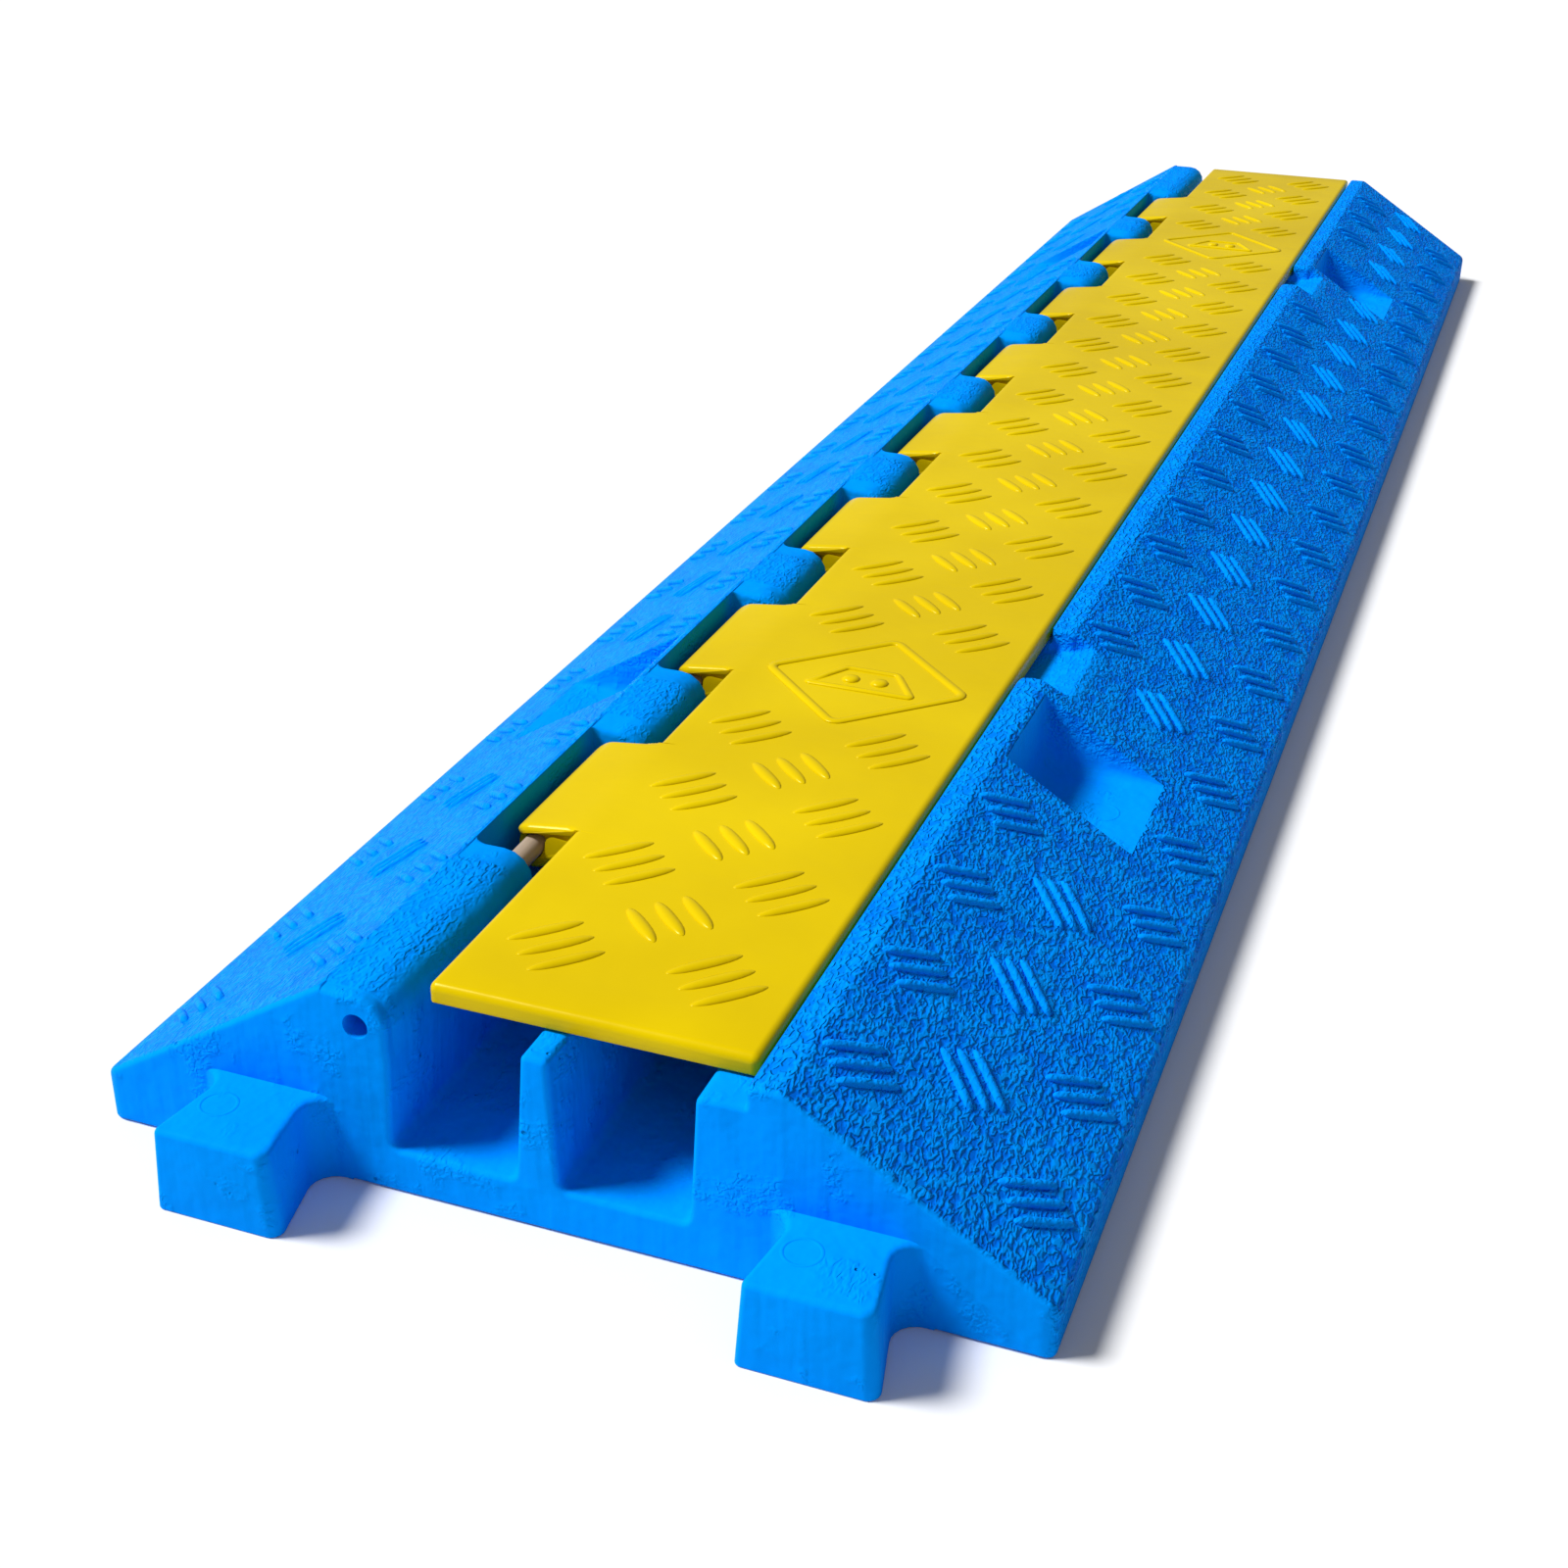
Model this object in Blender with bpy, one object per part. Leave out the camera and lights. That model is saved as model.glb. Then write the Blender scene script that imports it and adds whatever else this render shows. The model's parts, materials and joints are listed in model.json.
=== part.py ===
"""Two-channel cable protector ramp with a hinged lid.

Frame: X across the ramp (hinge side at -X), Y along it (lugs at -Y, sockets at +Y), Z up.
The origin is on the floor, below the centre of the base moulding. Lengths are in metres.
"""
import math

import bmesh
import bpy

# Base moulding
LENGTH = 1.000          # along Y, without the lugs
WIDTH = 0.242
HEIGHT = 0.054
EDGE_HEIGHT = 0.014     # upright outer edge of each ramp
CROWN_X = 0.0572        # where each ramp meets the flat top
CORNER_RADIUS = 0.007   # upright corners in plan
END_HALF = LENGTH / 2

# Cable channels and the shelves that carry the lid
CHANNEL_FLOOR = 0.0123
SHELF_HEIGHT = 0.048
LEFT_CHANNEL = (-0.0408, -0.0080)      # at the floor
RIGHT_CHANNEL = (0.0030, 0.0355)
DIVIDER_TOP = (-0.0054, 0.0014)
LEDGE_INNER = 0.0375                   # top of the right channel's outer wall
RIM_INNER = 0.0504                     # upright face beside the lid's free edge

# Hinge
HINGE_X = -0.0475
HINGE_Z = 0.0455
KNUCKLE_RADIUS = HEIGHT - HINGE_Z
BARREL_RADIUS = 0.0063
ROD_RADIUS = 0.0030
BORE_RADIUS = 0.0034
ROD_RECESS = 0.012                     # rod end below each end face
TAB_COUNT = 8
TAB_PITCH = 0.1095
TAB_LENGTH = 0.056
FIRST_TAB = 0.090                      # from the lug end to the first tab
END_KNUCKLE = 0.077                    # length of the knuckle at the lug end
TAB_GAP_BEFORE = 0.0045
TAB_GAP_AFTER = 0.0020
POCKET_WALL_X = -0.0560
POCKET_FLOOR = 0.0355

# Lid
LID_X = (-0.0343, 0.0481)
LID_UNDERSIDE = SHELF_HEIGHT + 0.0003
LID_SETBACK = 0.011                    # from the lug end
LID_FAR_GAP = 0.001
LID_EDGE = 0.0018                      # rounding of the plate's edges

# Hand pockets in the ramps and finger notches in the rim, mirrored end to end
HAND_POCKET_Y = (0.176, 0.221)         # from each end
HAND_POCKET_X = (0.0592, 0.0978)
HAND_POCKET_FLOOR = 0.0285
NOTCH_Y = (0.229, 0.265)
NOTCH_X = (0.0440, 0.0760)
NOTCH_FLOOR = 0.046

# Dovetail lugs and sockets that join one ramp to the next
LUG_X = 0.073
LUG_ROOT = 0.023
LUG_TIP = 0.031
LUG_REACH = 0.026
LUG_HEIGHT = 0.0235
LUG_ROUND = 0.003
JOIN_CLEARANCE = 0.001

BLUE = (0.0, 0.26, 0.83, 1.0)
YELLOW = (0.80, 0.58, 0.0, 1.0)
TAN = (0.42, 0.33, 0.25, 1.0)


def clear_scene():
    for obj in list(bpy.context.scene.objects):
        bpy.data.objects.remove(obj, do_unlink=True)


def material(name, colour, roughness, metallic=0.0):
    made = bpy.data.materials.new(name)
    made.use_nodes = True
    shader = made.node_tree.nodes["Principled BSDF"]
    shader.inputs["Base Color"].default_value = colour
    shader.inputs["Roughness"].default_value = roughness
    shader.inputs["Metallic"].default_value = metallic
    return made


def arc(centre_x, centre_y, radius, start, end, steps):
    """Points on a circle from angle start to angle end, in degrees."""
    points = []
    for i in range(steps + 1):
        angle = math.radians(start + (end - start) * i / steps)
        points.append((centre_x + radius * math.cos(angle), centre_y + radius * math.sin(angle)))
    return points


def prism(name, outlines, place, low, high):
    """One object holding each closed outline, extruded from low to high.

    place(a, b, t) turns an outline's point and a height into a point in space.
    """
    mesh = bmesh.new()
    for outline in outlines:
        face = mesh.faces.new([mesh.verts.new(place(a, b, low)) for a, b in outline])
        grown = bmesh.ops.extrude_face_region(mesh, geom=[face])["geom"]
        moved = [v for v in grown if isinstance(v, bmesh.types.BMVert)]
        shift = [q - p for p, q in zip(place(0, 0, low), place(0, 0, high))]
        bmesh.ops.translate(mesh, verts=moved, vec=shift)
    bmesh.ops.recalc_face_normals(mesh, faces=mesh.faces)
    data = bpy.data.meshes.new(name)
    mesh.to_mesh(data)
    mesh.free()
    obj = bpy.data.objects.new(name, data)
    bpy.context.scene.collection.objects.link(obj)
    return obj


def along_y(x, z, y):
    return (x, y, z)


def along_z(x, y, z):
    return (x, y, z)


def box(name, spans):
    """Boxes given as ((x0, x1), (y0, y1), (z0, z1)), all with the same height span."""
    outlines = []
    for (x0, x1), (y0, y1), _ in spans:
        outlines.append([(x0, y0), (x1, y0), (x1, y1), (x0, y1)])
    return prism(name, outlines, along_z, *spans[0][2])


def combine(target, tool, operation):
    """Adds a Boolean modifier and turns its tool into a hidden guide."""
    step = target.modifiers.new(tool.name, "BOOLEAN")
    step.operation = operation
    step.solver = "EXACT"
    step.object = tool
    tool.hide_render = True
    tool.display_type = "WIRE"


def circle(radius, steps=16):
    return arc(HINGE_X, HINGE_Z, radius, 0, 360 - 360 / steps, steps - 1)


def tab_starts():
    """Y where each of the lid's tabs begins."""
    return [FIRST_TAB - END_HALF + i * TAB_PITCH for i in range(TAB_COUNT)]


def base_section():
    """Section across the ramp: two slopes, the hinge ridge, two channels, the ledge and the rim."""
    half = WIDTH / 2
    draft = 0.0012
    points = [(-half, 0), (-half, EDGE_HEIGHT), (-CROWN_X, HEIGHT)]
    points += arc(HINGE_X, HINGE_Z, KNUCKLE_RADIUS, 90, 0, 5)
    points += [(LEFT_CHANNEL[0], CHANNEL_FLOOR), (LEFT_CHANNEL[1], CHANNEL_FLOOR)]
    points += [(DIVIDER_TOP[0], SHELF_HEIGHT - draft), (DIVIDER_TOP[0] + draft, SHELF_HEIGHT)]
    points += [(DIVIDER_TOP[1] - draft, SHELF_HEIGHT), (DIVIDER_TOP[1], SHELF_HEIGHT - draft)]
    points += [(RIGHT_CHANNEL[0], CHANNEL_FLOOR), (RIGHT_CHANNEL[1], CHANNEL_FLOOR)]
    points += [(LEDGE_INNER - draft / 4, SHELF_HEIGHT - draft), (LEDGE_INNER + draft, SHELF_HEIGHT)]
    points += [(RIM_INNER, SHELF_HEIGHT), (RIM_INNER, HEIGHT)]
    points += [(CROWN_X, HEIGHT), (half, EDGE_HEIGHT), (half, 0)]
    return points


def rounded_plan():
    """The base's outline from above, with rounded corners."""
    x = WIDTH / 2 - CORNER_RADIUS
    y = END_HALF - CORNER_RADIUS
    points = []
    for corner_x, corner_y, start in ((x, y, 0), (-x, y, 90), (-x, -y, 180), (x, -y, 270)):
        points += arc(corner_x, corner_y, CORNER_RADIUS, start, start + 90, 4)
    return points


def dovetail(centre_x, face_y, direction, root, tip, reach):
    """Plan outline that widens away from the face at face_y, in direction +1 or -1 along Y."""
    end_y = face_y + direction * reach
    inside_y = face_y - direction * 0.002
    half_root = root / 2
    half_tip = tip / 2
    return [
        (centre_x - half_root, inside_y),
        (centre_x - half_tip, end_y - direction * LUG_ROUND),
        (centre_x - half_tip + LUG_ROUND, end_y),
        (centre_x + half_tip - LUG_ROUND, end_y),
        (centre_x + half_tip, end_y - direction * LUG_ROUND),
        (centre_x + half_root, inside_y),
    ]


def lug_tool():
    outlines = [dovetail(x, -END_HALF, -1, LUG_ROOT, LUG_TIP, LUG_REACH) for x in (-LUG_X, LUG_X)]
    return prism("lugs", outlines, along_z, 0, LUG_HEIGHT)


def socket_tool():
    spare = 2 * JOIN_CLEARANCE
    outlines = []
    for x in (-LUG_X, LUG_X):
        outlines.append(dovetail(x, END_HALF, -1, LUG_ROOT + spare, LUG_TIP + spare, LUG_REACH + spare))
    return prism("sockets", outlines, along_z, -0.01, LUG_HEIGHT + JOIN_CLEARANCE)


def hinge_pocket_tool():
    """Openings in the ridge that the lid's tabs sit in."""
    spans = []
    for i, start in enumerate(tab_starts()):
        low = END_KNUCKLE - END_HALF if i == 0 else start - TAB_GAP_BEFORE
        high = start + TAB_LENGTH + TAB_GAP_AFTER
        spans.append(((POCKET_WALL_X, LEFT_CHANNEL[0] + 0.006), (low, high), (POCKET_FLOOR, 0.07)))
    return box("hinge_pockets", spans)


def hand_pocket_tool():
    spans = []
    for side in (-1, 1):
        x0, x1 = sorted((side * HAND_POCKET_X[0], side * (HAND_POCKET_X[1] + 0.02)))
        for end in (-1, 1):
            y0, y1 = sorted((end * (END_HALF - HAND_POCKET_Y[0]), end * (END_HALF - HAND_POCKET_Y[1])))
            spans.append(((x0, x1), (y0, y1), (HAND_POCKET_FLOOR, 0.07)))
    return box("hand_pockets", spans)


def finger_notch_tool():
    spans = []
    for end in (-1, 1):
        y0, y1 = sorted((end * (END_HALF - NOTCH_Y[0]), end * (END_HALF - NOTCH_Y[1])))
        spans.append((NOTCH_X, (y0, y1), (NOTCH_FLOOR, 0.07)))
    return box("finger_notches", spans)


def bore_tool(name):
    return prism(name, [circle(BORE_RADIUS)], along_y, -0.6, 0.6)


def base_moulding():
    """Solid polyurethane casting; the lugs, sockets and pockets are moulded in."""
    base = prism("base_moulding", [base_section()], along_y, -END_HALF, END_HALF)
    combine(base, prism("plan_limit", [rounded_plan()], along_z, -0.01, 0.08), "INTERSECT")
    combine(base, hinge_pocket_tool(), "DIFFERENCE")
    combine(base, bore_tool("base_bore"), "DIFFERENCE")
    combine(base, hand_pocket_tool(), "DIFFERENCE")
    combine(base, finger_notch_tool(), "DIFFERENCE")
    combine(base, socket_tool(), "DIFFERENCE")
    combine(base, lug_tool(), "UNION")
    base.data.materials.append(material("blue_polyurethane", BLUE, 0.45))
    return base


def lid_section():
    """Section of the plate, with a small chamfer on each edge."""
    x0, x1 = LID_X
    e = LID_EDGE
    return [
        (x0, LID_UNDERSIDE + e / 2), (x0, HEIGHT - e), (x0 + e, HEIGHT),
        (x1 - e, HEIGHT), (x1, HEIGHT - e), (x1, LID_UNDERSIDE + e / 2),
        (x1 - e / 2, LID_UNDERSIDE), (x0 + e / 2, LID_UNDERSIDE),
    ]


def tab_section():
    """Section of a tab: a barrel round the hinge axis and a neck that runs into the plate."""
    overlap = LID_X[0] + 0.006
    points = [(overlap, HEIGHT - 0.0002), (LID_X[0] - 0.001, HEIGHT - 0.0004)]
    points += arc(HINGE_X, HINGE_Z, BARREL_RADIUS, 90, 270, 10)
    points += arc(HINGE_X, HINGE_Z, BARREL_RADIUS, 290, 350, 3)
    points += [(LID_X[0] - 0.001, LID_UNDERSIDE + 0.0004), (overlap, LID_UNDERSIDE + 0.0004)]
    return points


def lid():
    """Injection-moulded plate with eight hinge tabs along its left edge."""
    plate = prism("lid", [lid_section()], along_y, LID_SETBACK - END_HALF, END_HALF - LID_FAR_GAP)
    tabs = []
    for i, start in enumerate(tab_starts()):
        tabs.append(prism(f"tab_{i + 1}", [tab_section()], along_y, start, start + TAB_LENGTH))
    for tab in tabs:
        combine(plate, tab, "UNION")
    combine(plate, bore_tool("tab_bore"), "DIFFERENCE")
    plate.data.materials.append(material("yellow_plastic", YELLOW, 0.3))
    return plate


def hinge_rod():
    """Pultruded fibreglass rod pushed through all the knuckles and tabs."""
    reach = END_HALF - ROD_RECESS
    rod = prism("hinge_rod", [circle(ROD_RADIUS)], along_y, -reach, reach)
    rod.data.materials.append(material("fibreglass", TAN, 0.6))
    rod.data.shade_smooth()
    rod.data.set_sharp_from_angle(angle=math.radians(40))
    return rod


def hinge_pivot(moving):
    """Empty on the hinge axis that carries the lid."""
    pivot = bpy.data.objects.new("lid_pivot", None)
    pivot.location = (HINGE_X, 0, HINGE_Z)
    bpy.context.scene.collection.objects.link(pivot)
    moving.parent = pivot
    moving.location = (-HINGE_X, 0, -HINGE_Z)


clear_scene()
base_moulding()
hinge_rod()
hinge_pivot(lid())
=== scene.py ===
"""Cable protector ramp: blue cast base with two channels, yellow hinged lid, fibreglass hinge rod.

Everything is in metres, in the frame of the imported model: X across the ramp with the hinge at -X,
Y along it with the lugs at -Y, Z up from the floor.
"""
import json
import math

import bpy
import numpy as np
from mathutils import Matrix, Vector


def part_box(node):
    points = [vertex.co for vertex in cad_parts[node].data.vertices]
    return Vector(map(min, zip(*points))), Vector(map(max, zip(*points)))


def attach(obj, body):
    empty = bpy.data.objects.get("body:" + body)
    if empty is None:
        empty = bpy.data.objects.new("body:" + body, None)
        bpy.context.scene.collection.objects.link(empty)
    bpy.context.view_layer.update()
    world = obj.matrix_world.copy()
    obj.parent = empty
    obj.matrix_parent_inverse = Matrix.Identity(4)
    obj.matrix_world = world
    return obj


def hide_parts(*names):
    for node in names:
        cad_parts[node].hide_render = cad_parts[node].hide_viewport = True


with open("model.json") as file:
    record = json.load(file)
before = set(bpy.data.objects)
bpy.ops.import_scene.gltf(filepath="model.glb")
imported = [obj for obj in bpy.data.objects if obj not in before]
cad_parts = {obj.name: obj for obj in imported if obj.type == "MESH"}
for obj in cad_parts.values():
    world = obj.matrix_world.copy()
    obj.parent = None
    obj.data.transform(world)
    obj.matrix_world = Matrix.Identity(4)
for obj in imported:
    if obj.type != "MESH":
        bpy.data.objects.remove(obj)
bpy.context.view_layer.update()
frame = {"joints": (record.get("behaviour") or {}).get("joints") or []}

# ---------------------------------------------------------------------------------------------
# Base moulding. One heavy polyurethane casting: two grained ramps, a hinge ridge cut into nine
# knuckles, two cable channels, a ledge and a rim for the lid, four hand pockets, two finger
# notches, two dovetail lugs and, in the underside of the far end, two sockets.

base_low, base_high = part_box("base_moulding")
HALF_WIDTH = base_high[0]
HEIGHT = base_high[2]
HALF_LENGTH = base_high[1]
EDGE_HEIGHT = 0.014
CROWN = 0.0572                 # |x| where each ramp meets the flat top
SLOPE = (HEIGHT - EDGE_HEIGHT) / (HALF_WIDTH - CROWN)
HINGE = next(j for j in frame["joints"] if j["name"] == "lid_hinge")["pos_m"]
KNUCKLE = HEIGHT - HINGE[2]    # outer radius of the ridge, about the hinge axis
CHANNEL_FLOOR = 0.0123
SHELF = 0.048
RIM_INNER = 0.0492
BORE = 0.0033
TAB_LENGTH = 0.056
TAB_PITCH = 0.1095
TAB_STARTS = 0.090 - HALF_LENGTH + TAB_PITCH * np.arange(8)
HINGE_GAPS = np.column_stack((TAB_STARTS - 0.0045, TAB_STARTS + TAB_LENGTH + 0.0020))
HINGE_GAPS[0, 0] = 0.077 - HALF_LENGTH      # the first gap is longer, and the rod shows in it
HAND_POCKETS = np.array([(0.176, 0.221), (0.779, 0.824)]) - HALF_LENGTH
NOTCHES = np.array([(0.229, 0.265), (0.735, 0.771)]) - HALF_LENGTH
SOCKETS = np.array([(HALF_LENGTH - 0.028, HALF_LENGTH + 0.01)])
LUG_X = 0.073
DRAFT = 0.0003                 # lean of every wall across the ramp, so that it leaves the mould
POCKET_FLOOR = 0.0285
NOTCH_FLOOR = 0.046            # at the lid; it rises towards the slope
HINGE_FLOOR = 0.0355
LUG_HEIGHT = 0.0235
PAST_ENDS = 0.01               # how far a boring tool stands out of each end
SHARP = math.radians(35)       # folds sharper than this stay creases in the shading


def outline(corners, steps, drawn_in=0.0):
    """Rounded closed outlines, one for each row, clockwise.

    corners is a list of (a, b, reach, extra); a, b and reach are numbers or arrays over rows. A
    corner becomes the arc that meets its two edges 'reach' away from it, as a conic with weight
    sqrt((1 - cos) / 2) for the angle between them. 'extra' evenly spaced points follow on the
    straight edge after it. drawn_in moves every edge inwards by that much, and tightens the
    outer corners to suit.
    """
    drawn_in = np.atleast_1d(drawn_in)[:, None, None]
    rows = max([drawn_in.size] + [np.size(v) for corner in corners for v in corner[:3]])
    centre = np.stack([np.stack([np.broadcast_to(c[k], rows) for c in corners], 1) for k in (0, 1)], 2)
    reach = np.stack([np.broadcast_to(c[2], rows) for c in corners], 1)[..., None]
    to_last = np.roll(centre, 1, 1) - centre
    to_next = np.roll(centre, -1, 1) - centre
    to_last /= np.linalg.norm(to_last, axis=2, keepdims=True)
    to_next /= np.linalg.norm(to_next, axis=2, keepdims=True)
    before = np.stack((-to_last[..., 1], to_last[..., 0]), 2)
    after = np.stack((to_next[..., 1], -to_next[..., 0]), 2)
    both = (before + after) / (1 + np.sum(before * after, 2, keepdims=True))
    centre = centre + both * drawn_in
    along = np.sum(both * to_next, 2, keepdims=True) * drawn_in
    reach = np.maximum(reach - along, np.minimum(reach, 0.0002))
    start = centre + to_last * reach
    end = centre + to_next * reach
    weight = np.sqrt((1 - np.sum(to_last * to_next, 2, keepdims=True)) / 2)[:, :, None]
    t = np.linspace(0, 1, steps + 1)[None, None, :, None]
    parts = ((1 - t) ** 2, 2 * weight * t * (1 - t), t ** 2)
    bends = parts[0] * start[:, :, None] + parts[1] * centre[:, :, None] + parts[2] * end[:, :, None]
    bends /= parts[0] + parts[1] + parts[2]
    following = np.roll(start, -1, 1)
    pieces = []
    for k, corner in enumerate(corners):
        pieces.append(bends[:, k])
        if corner[3]:
            s = np.arange(1, corner[3] + 1)[None, :, None] / (corner[3] + 1)
            pieces.append(end[:, k, None] * (1 - s) + following[:, k, None] * s)
    return np.concatenate(pieces, 1)


def inside(y, spans):
    """Distance of each row inside the nearest span's walls: positive inside, negative outside."""
    low = y[:, None] - spans[None, :, 0]
    high = spans[None, :, 1] - y[:, None]
    return np.minimum(low, high).max(1)


def sunk(s, depth, edge, root):
    """How far down a wall has gone at 's' inside its opening, where it ends 'depth' deep.

    A quarter circle of radius 'edge' rounds its brink, a straight stretch leans by DRAFT, and a
    quarter circle of radius 'root' joins it to the bottom. Both shrink where the depth is small.
    """
    s = s[:, None]
    brink = np.minimum(edge, 0.4 * depth)
    foot = np.minimum(root, 0.4 * depth)
    over = np.clip(s + edge, 0, edge) / edge
    under = np.clip(s - DRAFT, 0, root) / root
    down = brink * (1 - np.sqrt(1 - over ** 2))
    down = down + (depth - brink - foot) * np.clip(s / DRAFT, 0, 1)
    return down + foot * np.sqrt(1 - (1 - under) ** 2)


def wall_rows(spans, edge, root):
    """Rows at which each span's two walls need a cross-section: even steps round both quarter circles."""
    turn = np.radians(np.linspace(0, 90, 5))
    steps = np.concatenate((edge * (np.sin(turn) - 1), DRAFT + root * (1 - np.cos(turn))))
    return np.concatenate((spans[:, 0, None] + steps, spans[:, 1, None] - steps), 1).ravel()


def end_rows(low, high, radius):
    """Rows round the two end edges: even steps round a quarter circle."""
    steps = radius * (1 - np.cos(np.radians(np.linspace(0, 90, 6))))
    return np.concatenate((low + steps, high - steps))


def spread_rows(rows, low, high, longest):
    """Sorted rows from low to high on steps of 0.05 mm, and more rows where they are over 'longest' apart."""
    finest = 5e-5
    rows = rows[(rows > low + finest) & (rows < high - finest)]
    rows = np.unique(np.round(rows / finest)) * finest
    rows = np.concatenate(([low], rows, [high]))
    gaps = np.diff(rows)
    filled = [np.linspace(a, a + g, int(np.ceil(g / longest)), endpoint=False) for a, g in zip(rows, gaps)]
    return np.concatenate(filled + [rows[-1:]])


def tube_faces(rows, around):
    """Quads between neighbouring rings of a closed tube, and one many-sided face at each end."""
    ring = np.arange(around)
    first = (np.arange(rows - 1) * around)[:, None]
    a = first + ring
    b = first + np.roll(ring, -1)
    quads = np.stack((a, b, b + around, a + around), 2).reshape(-1, 4)
    return quads.tolist() + [ring[::-1].tolist(), (ring + (rows - 1) * around).tolist()]


def linked(name, data):
    """New object that carries the given mesh, lamp or camera, in the scene."""
    obj = bpy.data.objects.new(name, data)
    bpy.context.scene.collection.objects.link(obj)
    return obj


def solid(name, points, faces):
    """Object from points and faces, shaded smooth, with its faces turned outwards."""
    mesh = bpy.data.meshes.new(name)
    mesh.from_pydata(points.reshape(-1, 3), [], faces)
    # the sign of a rough volume, from one triangle of each side face, tells which way they point
    corners = points.reshape(-1, 3)[[f[i] for f in faces[:-2] for i in (0, 1, 2)]].reshape(-1, 3, 3)
    volume = np.sum(np.cross(corners[:, 0], corners[:, 1]) * corners[:, 2])
    if volume < 0:
        mesh.flip_normals()
    mesh.shade_smooth()
    mesh.set_sharp_from_angle(angle=SHARP)
    return linked(name, mesh)


def inward(points):
    """Unit normals of closed outlines, in their plane, to the right of the way they run."""
    along = np.roll(points, -1, 1) - np.roll(points, 1, 1)
    across = np.stack((along[..., 1], -along[..., 0]), 2)
    return across / np.maximum(np.linalg.norm(across, axis=2, keepdims=True), 1e-9)


def end_inset(y, low, high, radius):
    """How far an outline is drawn in near the two ends, as the radius of their edges asks."""
    near = np.maximum(np.minimum(y - low, high - y), 0)
    return radius - np.sqrt(radius ** 2 - (radius - np.minimum(near, radius)) ** 2)


def on_slope(x):
    """Height of both slopes, |x| from the middle of the ramp."""
    return HEIGHT - SLOPE * (np.abs(x) - CROWN)


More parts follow.
